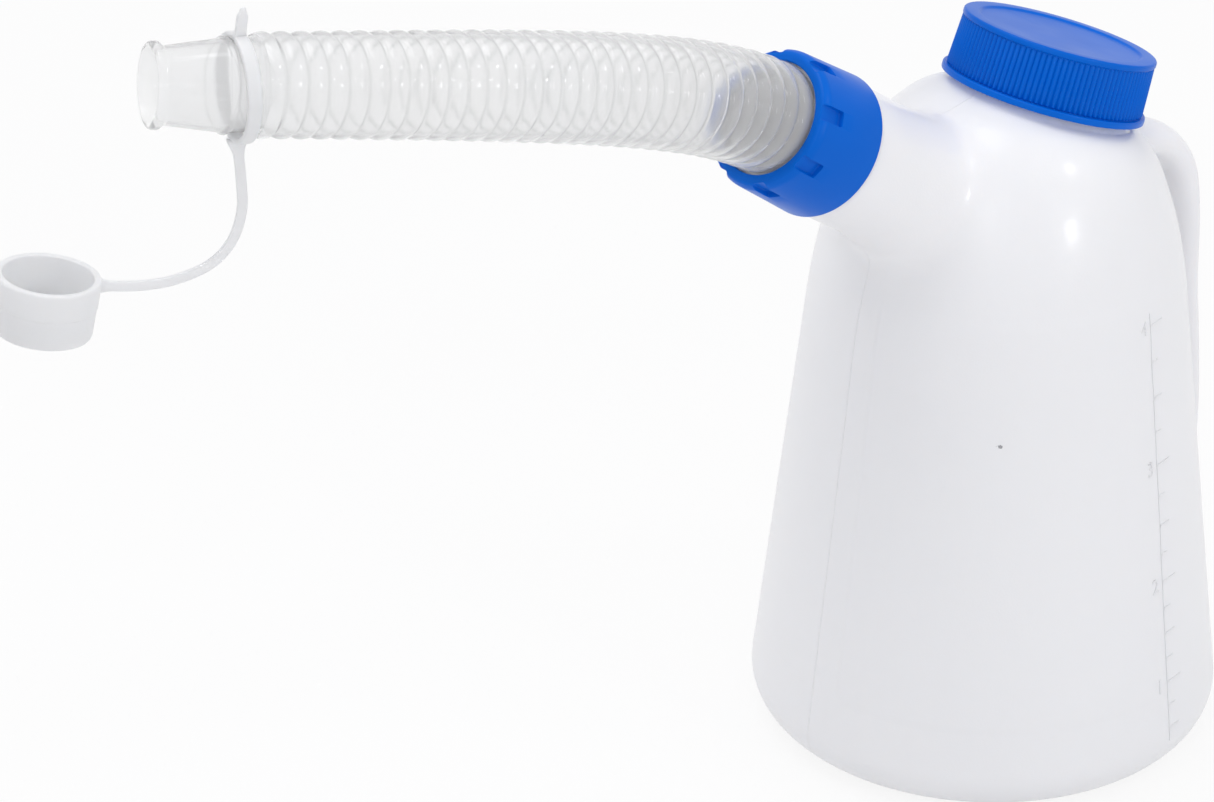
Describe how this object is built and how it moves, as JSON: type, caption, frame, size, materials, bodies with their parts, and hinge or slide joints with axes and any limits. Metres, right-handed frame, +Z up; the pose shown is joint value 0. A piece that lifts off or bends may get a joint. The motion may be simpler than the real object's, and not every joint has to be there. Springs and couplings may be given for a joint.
{
  "type": "fluid flask with spout",
  "caption": "Upright measuring flask for workshop fluids, with a handle, a screwed filler lid and a bent flexible pouring spout with a tethered cap.",
  "frame": {"origin": "centre of the flask's flat base", "axes": "+Z up, -X towards the spout, +X towards the handle"},
  "size_m": [0.5262, 0.185, 0.3854],
  "materials": {
    "flask_white": "satin",
    "cap_blue": "gloss",
    "spout_clear": "gloss",
    "tether_haze": "satin",
    "seal_grey": "matte"
  },
  "bodies": {
    "flask": {"flask_floor": "flask_white", "flask_heel": "flask_white", "flask_side": "flask_white", "hand_recess": "flask_white", "flask_shoulder": "flask_white", "filler_dome": "flask_white", "spout_root": "flask_white", "filler_neck": "flask_white", "spout_neck": "flask_white", "handle": "flask_white"},
    "lid_liner": {"lid_liner": "seal_grey"},
    "lid": {"lid": "cap_blue"},
    "spout_seal": {"spout_seal": "seal_grey"},
    "union_nut": {"union_nut": "cap_blue"},
    "flexible_spout": {"flexible_spout": "spout_clear"},
    "tethered_cap": {"tethered_cap": "tether_haze"}
  },
  "joints": [
    {"name": "lid_lift", "type": "slide", "parent": "flask", "child": "lid_liner", "axis": [0.3409, 0, 0.9401], "range_m": [0, 0.024]},
    {"name": "lid_turn", "type": "hinge", "parent": "lid_liner", "child": "lid", "pos_m": [0.01958, 0, 0.26019], "axis": [0.3409, 0, 0.9401], "range_deg": [0, 1440]},
    {"name": "spout_draw", "type": "slide", "parent": "flask", "child": "spout_seal", "axis": [-0.8171, 0, 0.5764], "range_m": [0, 0.027]},
    {"name": "nut_turn", "type": "hinge", "parent": "spout_seal", "child": "union_nut", "pos_m": [-0.09149, 0, 0.27244], "axis": [-0.8171, 0, 0.5764], "range_deg": [0, 1620]},
    {"name": "spout_bend", "type": "hinge", "parent": "spout_seal", "child": "flexible_spout", "pos_m": [-0.11813, 0, 0.29123], "axis": [0, 1, 0], "range_deg": [-45, 30], "stiffness_Nm_per_rad": 3, "springref_deg": 1.67, "deforming": ["flexible_spout"]},
    {"name": "tether_swivel", "type": "hinge", "parent": "flexible_spout", "child": "tethered_cap", "pos_m": [-0.33127, 0.02421, 0.35712], "axis": [-0.9433, 0.2854, 0.1696], "continuous": true}
  ],
  "couplings": [
    {"joint": "lid_lift", "follows": "lid_turn", "m_per_rad": 0.00095493},
    {"joint": "spout_draw", "follows": "nut_turn", "m_per_rad": 0.00095493}
  ]
}
